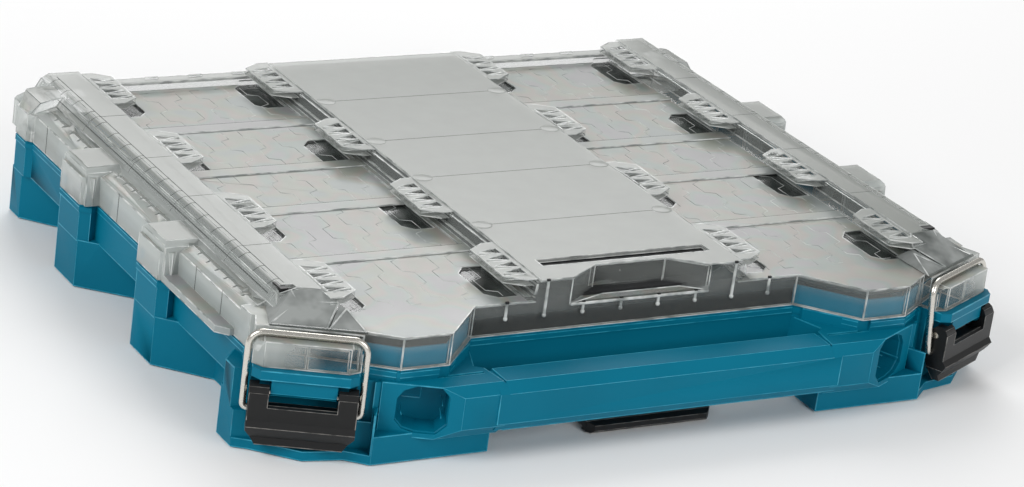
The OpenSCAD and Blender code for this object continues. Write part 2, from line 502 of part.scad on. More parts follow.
// compression springs: wire swept round as short straight lengths, closed ends
module coil(d, w, l, n) {
  m = 16; function at(i) = [d/2*cos(i*360/m), d/2*sin(i*360/m), w/2+(l-w)*i/(n*m)];
  seg = n*m;
  pts = [for (i = [0:seg]) let(c = at(i), r = unit2([c[0], c[1]])) for (a = [0:5]) [c[0]+r[0]*w/2*cos(a*60), c[1]+r[1]*w/2*cos(a*60), c[2]+w/2*sin(a*60)]];
  polyhedron(pts, concat([[for (a = [5:-1:0]) a]], [[for (a = [0:5]) seg*6+a]],
    [for (i = [0:seg-1], a = [0:5]) [i*6+a, i*6+(a+1)%6, (i+1)*6+(a+1)%6, (i+1)*6+a]]), 6);
}
module stack_tab_springs() color(steel) for (x = spring_x)
  translate([x, tab_y1-spring_in+0.1, tab_z+3]) rotate([-90, 0, 0]) coil(4.4, 0.8, yr+38-0.2-(tab_y1-spring_in)-0.1, 9);
module stack_tab_keeper() color(black) difference() {
  bx(-tab_w/2-15.8, tab_w/2+15.8, yr+3.2, yr+39.8, base_z, tab_z-0.35);
  for (x = [-1, 1]) translate([x*keep_x, yr+21, 0]) { cylinder(d = 3, h = 9); cylinder(d = 6.6, h = base_z+0.7); }
}
module stack_tab_screws() color(steel) for (x = [-1, 1]) translate([x*keep_x, yr+21, base_z]) { cylinder(d = 6.4, h = 0.7); cylinder(d = 3, h = 7); }

/* ---------------- inside ---------------- */
module blade_foam() color(foam) difference() {
  bx(-hw+foot_in+5, hw-foot_in-5, yr+6, yb-6, floor_z, rim_z-24);
  bx(-tab_w/2-23, tab_w/2+23, yr, yr+45, 0, floor_z+8);
  translate([0, post_y, 14]) cylinder(d = pocket_d, h = 60, $fn = 96);
  translate([0, post_y, 0]) cylinder(d = 40, h = 60);
  // finger cut-outs either side of the blades
  for (x = [-1, 1]) translate([x*(pocket_d/2), post_y, 10]) cylinder(d = 46, h = 60);
}
module lid_foam() color(foam) difference() {
  union() {
    bx(-rail_s+5, rail_s-5, yr+9, yb-14, deck_z-panel_t-14, deck_z-panel_t);
    bx(-rail_c+6, rail_c-6, yr+34, yb-14, deck_z-panel_t-14, rail_z-lid_wall-1);
    bx(-rail_c+6, rail_c-6, yr+9, yr+34, deck_z-panel_t-14, rail_z-18);
  }
  translate([0, post_y, 30]) cylinder(d = knob_d+20, h = deck_z-30-6);
}
module blade_post() color(black) difference() {
  translate([0, post_y, floor_z]) { cylinder(d = 39, h = 4); cylinder(d = post_d, h = 38); }
  translate([0, post_y, 5]) cylinder(d = 5, h = 17);
  translate([0, post_y, 26]) cylinder(d = 8.2, h = 30);
}
module blade_washer() color(steel) translate([0, post_y, 41.6]) difference() { cylinder(d = 44, h = 2); translate([0, 0, -1]) cylinder(d = 24+2*run_c, h = 5); }
module blade_knob() color(black) translate([0, post_y, 0]) {
  difference() {
    union() { translate([0, 0, 44.4]) cylinder(d = knob_d, h = 12); translate([0, 0, 40.4]) cylinder(d = 24, h = 5); translate([0, 0, 40.4]) cylinder(d = 26, h = 0.8); }
    for (i = [0:7]) rotate([0, 0, i*45]) translate([knob_d/2+3, 0, 40]) cylinder(r = 6, h = 30);
    translate([0, 0, 40]) cylinder(d = post_d+0.6, h = 4.3);
  }
  translate([0, 0, 26.5]) cylinder(d = 8, h = 18);
}
module blade_post_screw() color(steel) translate([0, post_y, 0]) { translate([0, 0, 1.2]) cylinder(d = 9, h = 1.8); translate([0, 0, 2]) cylinder(d = 5, h = 20); }
module foot_at() { for (x = [-1, 1], y = [yr+20, yb-24]) translate([x*180, y, 0]) children(); }
module feet() color(black) foot_at() cylinder(d = 18.4, h = 2.5);

base_tray();
lid_shell();
lid_gasket();
hinge_pins();
latch_lever(-1);  // latch_lever_left
latch_lever(1);  // latch_lever_right
latch_bail(-1);  // latch_bail_left
latch_bail(1);  // latch_bail_right
latch_pin(-1);  // latch_pin_left
latch_pin(1);  // latch_pin_right
stack_tab();
stack_tab_springs();
stack_tab_keeper();
stack_tab_screws();
blade_foam();
lid_foam();
blade_post();
blade_knob();
blade_washer();
blade_post_screw();
feet();
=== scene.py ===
import bmesh
import bpy
import math
from mathutils import Matrix, Vector


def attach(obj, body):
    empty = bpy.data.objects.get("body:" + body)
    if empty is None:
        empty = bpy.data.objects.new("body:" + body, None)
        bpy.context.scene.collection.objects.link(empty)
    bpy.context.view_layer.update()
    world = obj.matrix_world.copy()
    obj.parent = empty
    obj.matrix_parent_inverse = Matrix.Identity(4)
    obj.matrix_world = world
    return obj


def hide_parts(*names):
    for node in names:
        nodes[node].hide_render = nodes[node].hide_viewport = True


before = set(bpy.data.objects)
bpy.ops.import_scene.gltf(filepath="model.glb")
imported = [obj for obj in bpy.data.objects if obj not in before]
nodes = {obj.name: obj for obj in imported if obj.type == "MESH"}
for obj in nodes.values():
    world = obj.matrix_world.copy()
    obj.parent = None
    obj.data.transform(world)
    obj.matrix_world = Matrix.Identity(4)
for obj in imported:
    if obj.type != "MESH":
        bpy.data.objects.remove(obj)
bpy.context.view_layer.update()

# ---------------------------------------------------------------- tray
# The tray is one big injection moulding in teal polypropylene, with the carry
# handle, the latch corners and the hinge knuckles moulded in. The tool left a
# fine satin grain on it, and its edges are slightly rounded.


def colour(code):
    """An sRGB hex colour as the linear colour that a shader takes."""
    parts = [int(code[i:i + 2], 16) / 255 for i in (1, 3, 5)]
    return [p / 12.92 if p < 0.04045 else ((p + 0.055) / 1.055) ** 2.4 for p in parts] + [1]


def add(tree, kind, sockets={}, **settings):
    """Adds a shader node with its settings, values and links."""
    made = tree.nodes.new("ShaderNode" + kind)
    for name, value in settings.items():
        setattr(made, name, value)
    for name, value in sockets.items():
        if isinstance(value, bpy.types.NodeSocket):
            tree.links.new(value, made.inputs[name])
        else:
            made.inputs[name].default_value = value
    return made


def new_material(name):
    """A material with an empty tree and the sockets of its shader to fill."""
    material = bpy.data.materials.new(name)
    material.use_nodes = True
    return material, material.node_tree, material.node_tree.nodes["Principled BSDF"]


def softened(name, edge, body, material, segments=2, rim=None, shifted=None, cutter=None):
    """A copy of a CAD node with its edges rounded as a mould leaves them.

    The rounded edges take the rim material, shifted moves single corners, and
    the cutter's shape is taken away first.
    """
    mesh = nodes[name].data.copy()
    if cutter:
        whole = bpy.data.objects.new("whole", mesh)
        bpy.context.scene.collection.objects.link(whole)
        cut = whole.modifiers.new("cut", "BOOLEAN")
        cut.object = cutter
        mesh = bpy.data.meshes.new_from_object(whole.evaluated_get(bpy.context.evaluated_depsgraph_get()))
        bpy.data.objects.remove(whole)
        bpy.data.objects.remove(cutter)
    if shifted:
        for corner in mesh.vertices:
            corner.co = shifted(*corner.co)
    work = bmesh.new()
    work.from_mesh(mesh)
    bmesh.ops.remove_doubles(work, verts=work.verts, dist=2e-6)
    bmesh.ops.dissolve_degenerate(work, dist=5e-6, edges=work.edges)
    bmesh.ops.dissolve_limit(work, angle_limit=math.radians(1), verts=work.verts, edges=work.edges)
    work.to_mesh(mesh)
    work.free()
    piece = bpy.data.objects.new(name + "_moulded", mesh)
    bpy.context.scene.collection.objects.link(piece)
    mesh.materials.clear()
    mesh.materials.append(material)
    bevel = piece.modifiers.new("edges", "BEVEL")
    bevel.width = edge
    bevel.segments = segments
    bevel.limit_method = "ANGLE"
    bevel.angle_limit = math.radians(32)
    bevel.use_clamp_overlap = True
    if rim:
        mesh.materials.append(rim)
        bevel.material = 1
    mesh.shade_smooth()
    mesh.set_sharp_from_angle(angle=math.radians(40))
    even = piece.modifiers.new("shading", "WEIGHTED_NORMAL")
    even.keep_sharp = True
    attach(piece, body)
    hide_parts(name)
    return piece


# Moulded polypropylene, satin: the grain is 0.6 mm, and broad flow marks shift
# the gloss a little.
teal_polypropylene, tree, shader = new_material("teal_moulded_polypropylene")
place = add(tree, "TexCoord").outputs["Object"]
grain = add(tree, "TexNoise", {"Vector": place, "Scale": 1600.0, "Detail": 3.0}).outputs["Fac"]
flow = add(tree, "TexNoise", {"Vector": place, "Scale": 9.0, "Detail": 2.0}).outputs["Fac"]
tint = add(tree, "ValToRGB", {"Fac": flow})
tint.color_ramp.elements[0].color = colour("#006983")
tint.color_ramp.elements[0].position = 0.3
tint.color_ramp.elements[1].color = colour("#00708B")
tint.color_ramp.elements[1].position = 0.7
tree.links.new(tint.outputs["Color"], shader.inputs["Base Color"])
gloss = add(tree, "MapRange", {"Value": flow, "To Min": 0.42, "To Max": 0.52}).outputs["Result"]
tree.links.new(gloss, shader.inputs["Roughness"])
shader.inputs["IOR"].default_value = 1.49
shader.inputs["Specular IOR Level"].default_value = 0.12
bump = add(tree, "Bump", {"Height": grain, "Strength": 0.12, "Distance": 0.0002})
tree.links.new(bump.outputs["Normal"], shader.inputs["Normal"])

# The lashing pocket in each corner block is wide, with cut corners. Its outline
# and middle are in millimetres, and it is turned to face the slanted block.
pocket_outline = [(-16, -8), (-11, -13.5), (-3, -15.5), (10, -15.5), (16.5, -9),
                  (16.5, 10), (11, 15.5), (-4, 15.5), (-12, 12), (-16, 6)]
pocket_x, pocket_y, pocket_z = 174, -218.4, 35.3
pocket_cos, pocket_sin = math.cos(0.454), math.sin(0.454)


def pocket_rings(work, side, steps):
    """A row of rings along the pocket, at depths in millimetres, each joined to the last."""
    rings = []
    for depth, size in steps:
        rings.append([])
        for a, b in pocket_outline:
            x = pocket_x - a * size * pocket_cos - depth * pocket_sin
            y = pocket_y - a * size * pocket_sin + depth * pocket_cos
            rings[-1].append(work.verts.new((side * x / 1000, y / 1000, (pocket_z + b * size) / 1000)))
        if len(rings) > 1:
            for k in range(len(pocket_outline)):
                j = (k + 1) % len(pocket_outline)
                work.faces.new((rings[-2][j], rings[-2][k], rings[-1][k], rings[-1][j]))
    work.faces.new(rings[0])
    work.faces.new(rings[-1][::-1])
    bmesh.ops.recalc_face_normals(work, faces=work.faces)


work = bmesh.new()
for side in (-1, 1):
    pocket_rings(work, side, ((-6, 1), (19.5, 1)))
mesh = bpy.data.meshes.new("pocket_cutter")
work.to_mesh(mesh)
work.free()
cutter = bpy.data.objects.new("pocket_cutter", mesh)
bpy.context.scene.collection.objects.link(cutter)
softened("base_tray", 0.0009, "base", teal_polypropylene, 3, cutter=cutter)

# ---------------------------------------------------------------- levers, tab and other black parts
# The levers, the release tab with its cover plate, and the blade post with its
# knob are moulded in black nylon. The tool left a fine even grain on them.


def dress(names, material):
    """Gives plain CAD nodes a material."""
    for name in names:
        nodes[name].data.materials.clear()
        nodes[name].data.materials.append(material)


black_nylon, tree, shader = new_material("black_moulded_nylon")
place = add(tree, "TexCoord").outputs["Object"]
grain = add(tree, "TexNoise", {"Vector": place, "Scale": 1400.0, "Detail": 2.0}).outputs["Fac"]
shader.inputs["Base Color"].default_value = colour("#0C0D0E")
gloss = add(tree, "MapRange", {"Value": grain, "To Min": 0.38, "To Max": 0.5}).outputs["Result"]
tree.links.new(gloss, shader.inputs["Roughness"])
shader.inputs["IOR"].default_value = 1.53
shader.inputs["Specular IOR Level"].default_value = 0.35
bump = add(tree, "Bump", {"Height": grain, "Strength": 0.2, "Distance": 0.0002})
tree.links.new(bump.outputs["Normal"], shader.inputs["Normal"])
for end in ("left", "right"):
    softened("latch_lever_" + end, 0.0007, "lever_" + end, black_nylon)
softened("stack_tab", 0.0006, "tab", black_nylon)
dress(("stack_tab_keeper", "blade_post", "blade_knob"), black_nylon)

# ---------------------------------------------------------------- gasket and feet
# The gasket is a strip of black rubber under the lid's edge, and the feet are
# four rubber discs pressed into the tray. Rubber scatters light softly.
black_rubber, tree, shader = new_material("black_moulded_rubber")
place = add(tree, "TexCoord").outputs["Object"]
grain = add(tree, "TexNoise", {"Vector": place, "Scale": 900.0, "Detail": 3.0}).outputs["Fac"]
shader.inputs["Base Color"].default_value = colour("#0F0F0F")
shader.inputs["Roughness"].default_value = 0.75
shader.inputs["Specular IOR Level"].default_value = 0.2
bump = add(tree, "Bump", {"Height": grain, "Strength": 0.3, "Distance": 0.0003})
tree.links.new(bump.outputs["Normal"], shader.inputs["Normal"])
dress(("lid_gasket", "feet"), black_rubber)

# ---------------------------------------------------------------- lid
# The lid is one injection moulding in clear polycarbonate. Its level faces are
# lightly frosted in the tool, its upright walls are polished, and its cut edges
# carry a painted highlight in a bright edge material.
clear_polycarbonate, tree, shader = new_material("clear_moulded_polycarbonate")
coords = add(tree, "TexCoord")
place = coords.outputs["Object"]
upright = add(tree, "SeparateXYZ", {"Vector": coords.outputs["Normal"]}).outputs["Z"]
level = add(tree, "MapRange", {"Value": add(tree, "Math", {0: upright}, operation="ABSOLUTE").outputs[0],
                               "From Min": 0.88, "From Max": 0.97}).outputs["Result"]
height = add(tree, "SeparateXYZ", {"Vector": place}).outputs["Z"]
deck = add(tree, "MapRange", {"Value": height, "From Min": 0.0822, "From Max": 0.0812}).outputs["Result"]
cloud = add(tree, "TexNoise", {"Vector": place, "Scale": 60.0, "Detail": 4.0}).outputs["Fac"]
facing = add(tree, "LayerWeight", {"Blend": 0.3}).outputs["Facing"]
frost = add(tree, "MapRange", {"Value": cloud, "To Min": 0.66, "To Max": 0.74}).outputs["Result"]
wall = add(tree, "MapRange", {"Value": height, "From Min": 0.069, "From Max": 0.073,
                              "To Min": 0.02, "To Max": 0.09}).outputs["Result"]
across = add(tree, "SeparateXYZ", {"Vector": place}).outputs["X"]
outward = add(tree, "Math", {0: across}, operation="ABSOLUTE").outputs[0]
flank = add(tree, "MapRange", {"Value": outward, "From Min": 0.235, "From Max": 0.262,
                               "To Min": 0.0, "To Max": 0.42}).outputs["Result"]
side = add(tree, "Math", {0: wall, 1: flank}, operation="ADD").outputs[0]
body = add(tree, "Mix", {0: level, 2: side, 3: frost}).outputs[0]
edge = add(tree, "Math", {0: facing, 1: 0.2, 2: body}, operation="MULTIPLY_ADD", use_clamp=True).outputs[0]
tree.links.new(edge, shader.inputs["Alpha"])
# frozen stress in the deck shows as a faint play of colour
stress = add(tree, "TexNoise", {"Vector": place, "Scale": 26.0, "Detail": 1.0}).outputs["Fac"]
play = add(tree, "ValToRGB", {"Fac": stress})
play.color_ramp.elements[0].color = colour("#969D9B")
play.color_ramp.elements[0].position = 0.36
play.color_ramp.elements[1].color = colour("#9B9B9C")
play.color_ramp.elements[1].position = 0.64
for at, code in ((0.43, "#9A9F94"), (0.5, "#A19B94"), (0.57, "#949F99")):
    play.color_ramp.elements.new(at).color = colour(code)
flat = add(tree, "Mix", {0: deck, 6: colour("#8D918C"), 7: play.outputs["Color"]}, data_type="RGBA").outputs[2]
shade = add(tree, "Mix", {0: level, 6: colour("#C9CFCC"), 7: flat}, data_type="RGBA")
tree.links.new(shade.outputs[2], shader.inputs["Base Color"])
matt = add(tree, "MapRange", {"Value": level, "To Min": 0.06, "To Max": 0.3}).outputs["Result"]
tree.links.new(matt, shader.inputs["Roughness"])
shader.inputs["IOR"].default_value = 1.58
bump = add(tree, "Bump", {"Height": cloud, "Strength": 0.05, "Distance": 0.0005})
tree.links.new(bump.outputs["Normal"], shader.inputs["Normal"])



def mottled(name, scale, detail, low, high, rough, alpha=None, ior=None):
    """A material whose colour drifts between two tones, each with its place on the ramp."""
    made, tree, shader = new_material(name)
    place = add(tree, "TexCoord").outputs["Object"]
    drift = add(tree, "TexNoise", {"Vector": place, "Scale": scale, "Detail": detail}).outputs["Fac"]
    ramp = add(tree, "ValToRGB", {"Fac": drift})
    for stop, (code, at) in zip(ramp.color_ramp.elements, (low, high)):
        stop.color = colour(code)
        stop.position = at
    tree.links.new(ramp.outputs["Color"], shader.inputs["Base Color"])
    shader.inputs["Roughness"].default_value = rough
    if alpha:
        shader.inputs["Alpha"].default_value = alpha
        shader.inputs["IOR"].default_value = ior
    return made


# Painted highlight: a bright, mottled polycarbonate for the polished arrises, standing in for the light that gathers
# at every edge.
painted_highlight_edge = mottled("polycarbonate_edge_painted_highlight", 90.0, 2.0, ("#8E9492", 0.35), ("#E2E5E3", 0.6), 0.1, 0.75, 1.58)


def lid_corner(x, y, z):
    """Where a corner of the plain lid goes: flat ribs, a wider slot and a lower, narrower notch."""
    a, b, c = abs(x) * 1000, y * 1000, z * 1000
    if 81.4 < c < 81.9 and 78 < a < 216:
        c = 81.0
    if b < -177.5 and a < 113.5 and c < 81.6:
        b = -177.0
    if abs(a - 69) < 0.1 and -155.1 < b < -149.9:
        a, b = 62.5, -157.0 if b < -152 else -147.0
    if abs(c - 84.4) < 0.05 and 250 < a < 260:
        c = 81.2
    if abs(c - 83.5) < 0.05 and a < 46 and b < -159:
        c = 76.7
    if abs(c - 81.1) < 0.05 and a < 48 and b < -156:
        c = 74.8
    for front, lean, depth, wide, narrow, deep in ((44.5, 8.5, 17, 51.5, 26, 16), (47.4, 9.4, 19.4, 54, 28, 18.4)):
        t = (b + 177) / depth
        if -0.01 < t < 1.01 and abs(a - front + lean * t) < 0.08 and c > 74:
            a, b = wide - (wide - narrow) * t, -177 + deep * t
    return math.copysign(a / 1000, x), b / 1000, c / 1000


# The rounded edges of the lid take the bright painted-highlight material.
softened("lid_shell", 0.0006, "lid", clear_polycarbonate, rim=painted_highlight_edge, shifted=lid_corner)

# Painted shade: a dark grey standing in for the darkening of thick polycarbonate seen along its length.
painted_shade_edge = mottled("polycarbonate_edge_painted_shade", 70.0, 2.0, ("#2E3331", 0.35), ("#5C6360", 0.65), 0.15, 0.7, 1.58)

# ---------------------------------------------------------------- lattice, bands and lines of the lid
# The clear deck carries fine zigzag lines in columns, like long hexagons, and
# four shallow bands run across it. Mould lines cross the rails at the bands, and
# a ladder of small cells runs along each side rail. The zigzag lines and the
# front edges of the bands are drawn bright as painted highlight; the back edges
# of the bands, the mould lines and the ladder lines are drawn dark as painted shade.


def ridges(name, paths, width, rise, body, material):
    """Low three-sided ridges along paths; a path is a normal and its points."""
    work = bmesh.new()
    for normal, path in paths:
        for a, b in zip(path, path[1:]):
            a, b = Vector(a), Vector(b)
            side = (b - a).cross(Vector(normal)).normalized() * width / 2
            tip = Vector(normal) * rise
            ends = [[work.verts.new(q) for q in (p - side, p + tip, p + side)] for p in (a, b)]
            work.faces.new((ends[0][0], ends[0][1], ends[1][1], ends[1][0]))
            work.faces.new((ends[0][1], ends[0][2], ends[1][2], ends[1][1]))
            work.faces.new(ends[0][::-1])
            work.faces.new(ends[1])
    bmesh.ops.recalc_face_normals(work, faces=work.faces)
    return placed(name, work, body, material)


def placed(name, work, body, material, width=0):
    """Makes a piece of a bmesh, with its edges rounded to a width, and lets it ride."""
    mesh = bpy.data.meshes.new(name)
    work.to_mesh(mesh)
    work.free()
    mesh.materials.append(material)
    piece = bpy.data.objects.new(name, mesh)
    bpy.context.scene.collection.objects.link(piece)
    if width:
        bevel = piece.modifiers.new("edges", "BEVEL")
        bevel.width = width
        bevel.segments = 2
        bevel.angle_limit = math.radians(32)
        mesh.shade_smooth()
        mesh.set_sharp_from_angle(angle=math.radians(40))
    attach(piece, body)
    return piece


def block(work, low, high):
    """Adds a box between two corners to a bmesh."""
    low, high = Vector(low), Vector(high)
    shape = Matrix.Translation((low + high) / 2) @ Matrix.Diagonal(high - low).to_4x4()
    bmesh.ops.create_cube(work, size=1, matrix=shape)


up_z = (0, 0, 1)
zigzags = []
for start, top in ((0.0979, 0.1136), (-0.1988, 0.169)):
    for i in range(6):
        x, y = start + 0.0194 * i, top + 0.0387 * 3 + (0.01935 if i % 2 == 0 else 0)
        path = []
        while y > -0.17:
            path += [(x, y), (x, y - 0.0155), (x + 0.0072, y - 0.0189), (x + 0.0072, y - 0.0351)]
            y -= 0.0387
        kept = [(px, min(max(py, -0.166), 0.206), 0.081) for px, py in path]
        zigzags.append((up_z, [q for k, q in enumerate(kept) if k == 0 or q != kept[k - 1]]))
ridges("deck_lattice", zigzags, 0.0005, 0.0002, "lid", painted_highlight_edge)

band_y = ((-0.0970, -0.0856), (-0.0166, -0.0041), (0.0512, 0.0637), (0.1293, 0.1418))
work = bmesh.new()
for y0, y1 in band_y:
    for side in (-1, 1):
        block(work, (side * 0.1475 - 0.0675, y0, 0.0806), (side * 0.1475 + 0.0675, y1, 0.0815))
placed("deck_bands", work, "lid", clear_polycarbonate, 0.0003)
# Band front edges get a painted highlight; band back edges join the dark lines of painted shade.
fronts, dark_lines = ([(up_z, [(side * 0.080, edges[k], 0.0814), (side * 0.215, edges[k], 0.0814)])
                       for edges in band_y for side in (-1, 1)] for k in (0, 1))
ridges("band_fronts", fronts, 0.0016, 0.0006, "lid", painted_highlight_edge)
for y in (-0.0880, -0.0060, 0.0610, 0.1370):
    dark_lines.append((up_z, [(-0.0747, y, 0.09445), (0.0747, y, 0.09445)]))
    for side in (-1, 1):
        dark_lines.append((up_z, [(side * 0.2200, y, 0.09445), (side * 0.2425, y, 0.09445)]))
        dark_lines.append(((side * 0.515, 0, 0.857), [(side * 0.2425, y, 0.09445), (side * 0.2475, y, 0.0915)]))
        dark_lines.append(((side * 0.85, 0, 0.52), [(side * 0.2475, y, 0.0915), (side * 0.2515, y, 0.0850)]))
ridges("mould_lines", dark_lines, 0.0006, 0.0002, "lid", painted_shade_edge)

ladder = []
for side in (-1, 1):
    ladder.append((up_z, [(side * 0.2392, -0.146, 0.0945), (side * 0.2392, 0.214, 0.0945)]))
    ladder.append(((side * 0.85, 0, 0.52), [(side * 0.2493, -0.146, 0.0886), (side * 0.2493, 0.214, 0.0886)]))
    for k in range(18):
        y = -0.140 + 0.0205 * k
        ladder.append((up_z, [(side * 0.2392, y, 0.0945), (side * 0.2425, y, 0.0945)]))
        ladder.append(((side * 0.515, 0, 0.857), [(side * 0.2425, y, 0.0945), (side * 0.2475, y, 0.0915)]))
ridges("rail_ladders", ladder, 0.0007, 0.0002, "lid", painted_shade_edge)

# Round lens marks sit at both ends of the lines on the centre rail.
work = bmesh.new()
for y in (-0.0880, -0.0060, 0.0610, 0.1370):
    for side in (-1, 1):
        lens = Matrix.Translation((side * 0.0685, y, 0.0944)) @ Matrix.Diagonal((0.0072, 0.0062, 0.0007, 1))
        bmesh.ops.create_uvsphere(work, u_segments=32, v_segments=16, radius=1, matrix=lens)
placed("lens_marks", work, "lid", clear_polycarbonate).data.shade_smooth()


def arrises(name, node, shortest, width, rise, body, material, shifted=None, outer=False):
    """Fine raised lines along the long sharp edges of a node, or its outer ones only."""
    sharp = math.radians(24)
    sunk = width * 0.4
    work = bmesh.new()
    work.from_mesh(nodes[node].data)
    if shifted:
        for corner in work.verts:
            corner.co = shifted(*corner.co)
    bmesh.ops.remove_doubles(work, verts=work.verts, dist=2e-6)
    bmesh.ops.dissolve_degenerate(work, dist=5e-6, edges=work.edges)
    bmesh.ops.dissolve_limit(work, angle_limit=math.radians(1), verts=work.verts, edges=work.edges)
    lines = []
    for edge in work.edges:
        if len(edge.link_faces) != 2 or edge.calc_length() <= shortest:
            continue
        if edge.calc_face_angle() > sharp and (edge.is_convex or not outer):
            out = (edge.link_faces[0].normal + edge.link_faces[1].normal).normalized()
            lines.append((out, [v.co - out * sunk for v in edge.verts]))
    work.free()
    return ridges(name, lines, width, rise + sunk, body, material)


# Bright lines along the lid's long sharp edges: a painted highlight.
arrises("lid_arrises", "lid_shell", 0.006, 0.0009, 0.00015, "lid", painted_highlight_edge, lid_corner)

# Painted highlight: lighter grey lines along the black edges, standing in for the light they catch.
nylon_edge_highlight = mottled("nylon_edge_painted_highlight", 150.0, 3.0, ("#2A2A29", 0.35), ("#8A8782", 0.7), 0.3)
for end in ("left", "right"):
    arrises("lever_arrises_" + end, "latch_lever_" + end, 0.008, 0.0007, 0.0001,
            "lever_" + end, nylon_edge_highlight, outer=True)
arrises("tab_arrises", "stack_tab", 0.02, 0.0006, 0.0001, "tab", nylon_edge_highlight, outer=True)

# Painted highlight: teal edges drawn a shade lighter, standing in for the light they catch.
teal_edge_highlight = mottled("polypropylene_edge_painted_highlight", 120.0, 3.0, ("#007C99", 0.35), ("#2FA0BC", 0.65), 0.35)
arrises("tray_arrises", "base_tray", 0.010, 0.0009, 0.0001, "base", teal_edge_highlight, outer=True)

# ---------------------------------------------------------------- corner slopes, upstand and seal
# Facets slope from each side rail down to the latch. Their colour drifts between
# dark and light grey, painted shade and painted reflection for the polished clear
# facets; their edges get a painted highlight and their foot a dark painted-shade line.
# Behind the clear skirt the tray has a thin teal upstand, and the rubber seal of
# the lid closes inside it.
shade_and_reflection_slope = mottled("polycarbonate_slope_painted_shade_and_reflection", 38.0, 3.0, ("#565B59", 0.36), ("#9FA3A1", 0.62), 0.22, 0.85, 1.58)

slope_a = [(261.7, -175.4, 81.8), (230.3, -190.1, 81.8), (214, -171.6, 90), (239, -165.7, 90),
           (240, -158, 94.6), (219.5, -160, 94.6), (252, -150, 81.8), (214, -150, 81.8)]
slope_b = [(228.9, -190.7, 81.8), (208.1, -200.3, 81.8), (211.2, -177.4, 88), (213.6, -172.5, 89), (206, -166, 81.8)]
slope_out = (0, -0.5, 0.866)
rim_lift, foot_lift = Vector((0, -0.0002, 0.0003)), Vector((0, -0.001, 0.0006))
work = bmesh.new()
rims, feet = [], []
for side in (-1, 1):
    for points in (slope_a, slope_b):
        made = [work.verts.new((side * x / 1000, y / 1000, z / 1000)) for x, y, z in points]
        bmesh.ops.convex_hull(work, input=made)
    corner = [Vector((side * x / 1000, y / 1000, z / 1000)) for x, y, z in slope_a + slope_b]
    for a, b in ((0, 3), (1, 2), (3, 2), (8, 10), (9, 10), (3, 4), (2, 5)):
        rims.append((slope_out, [corner[a] + rim_lift, corner[b] + rim_lift]))
    feet.append((slope_out, [corner[0] + foot_lift, corner[9] + foot_lift]))
bmesh.ops.recalc_face_normals(work, faces=work.faces)
placed("corner_slopes", work, "lid", shade_and_reflection_slope)
# Painted highlight along the facet edges, painted shade along their foot.
ridges("slope_edges", rims, 0.0012, 0.0004, "lid", painted_highlight_edge)
ridges("slope_feet", feet, 0.0022, 0.0005, "lid", painted_shade_edge)


def strip(work, path, outer, inner, low, high, closed=False):
    """Adds an upright strip beside a path in millimetres, between two offsets inwards."""
    count = len(path)
    rows = []
    for k in range(count):
        here = Vector(path[k])
        before = (here - Vector(path[k - 1])).normalized() if closed or k else None
        after = (Vector(path[(k + 1) % count]) - here).normalized() if closed or k < count - 1 else None
        before, after = before or after, after or before
        turn = Vector((-before.y - after.y, before.x + after.x)) / (1 + before.dot(after))
        rows.append([work.verts.new(((here + turn * d).x / 1000, (here + turn * d).y / 1000, z / 1000))
                     for d, z in ((outer, low), (outer, high), (inner, high), (inner, low))])
    for k in range(count if closed else count - 1):
        a, b = rows[k], rows[(k + 1) % count]
        for j in range(4):
            work.faces.new((a[j], b[j], b[(j + 1) % 4], a[(j + 1) % 4]))
    if not closed:
        work.faces.new(rows[0])
        work.faces.new(rows[-1][::-1])
    bmesh.ops.recalc_face_normals(work, faces=work.faces)


work = bmesh.new()
for side in (-1, 1):
    pocket_rings(work, side, ((19.4, 0.94), (3.0, 0.965), (2.4, 1.005), (19.5, 1.03)))
    caps = [face for face in work.faces if len(face.verts) == len(pocket_outline)]
    bmesh.ops.delete(work, geom=caps[-1:], context="FACES_ONLY")
placed("pocket_linings", work, "base", teal_polypropylene)

seat = [(122.7, -172), (155.7, -205), (185, -205), (261, -155), (261, 202), (246, 217)]
left_seat = [(-x, y) for x, y in seat[::-1]]
work = bmesh.new()
strip(work, seat[:4] + [(261, 150)], -2.0, -0.5, 58.6, 72.5)
strip(work, [(-261, 150)] + left_seat[2:], -2.0, -0.5, 58.6, 72.5)
placed("tray_upstand", work, "base", teal_polypropylene, 0.0003)
work = bmesh.new()
strip(work, seat + left_seat, 0.2, 3.1, 59.5, 66.0, closed=True)
seal = placed("lid_seal", work, "lid", black_rubber, 0.0004)
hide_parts("lid_gasket")

# ---------------------------------------------------------------- front wall of the lid
# Slim ribs stand on the clear front wall, each with a dark pip at its head and a
# bead at its foot. The ribs, their beads and the sill that closes the notch are
# drawn bright as painted highlight. The black seal shows through the wall, and
# black blocks in the slot and near the front ends of the side rails are painted shade.
ribs, pips = bmesh.new(), bmesh.new()
for x, head in ((14, 76.3), (42, 76.3), (70, 93.6), (98, 80.6)):
    for side in (-1, 1):
        c = side * x / 1000
        block(ribs, (c - 0.0009, -0.1779, 0.0705), (c + 0.0009, -0.1768, head / 1000))
        bead = Matrix.Translation((c, -0.1775, 0.0705))
        bmesh.ops.create_uvsphere(ribs, u_segments=12, v_segments=8, radius=0.0015, matrix=bead)
        block(pips, (c - 0.0012, -0.1781, head / 1000), (c + 0.0012, -0.1766, head / 1000 + 0.0016))
placed("front_ribs", ribs, "lid", painted_highlight_edge, 0.0002)
placed("front_rib_heads", pips, "lid", black_nylon, 0.0003)
work = bmesh.new()
block(work, (-0.0515, -0.1784, 0.0752), (0.0515, -0.1768, 0.0772))
placed("notch_sill", work, "lid", painted_highlight_edge, 0.0006)
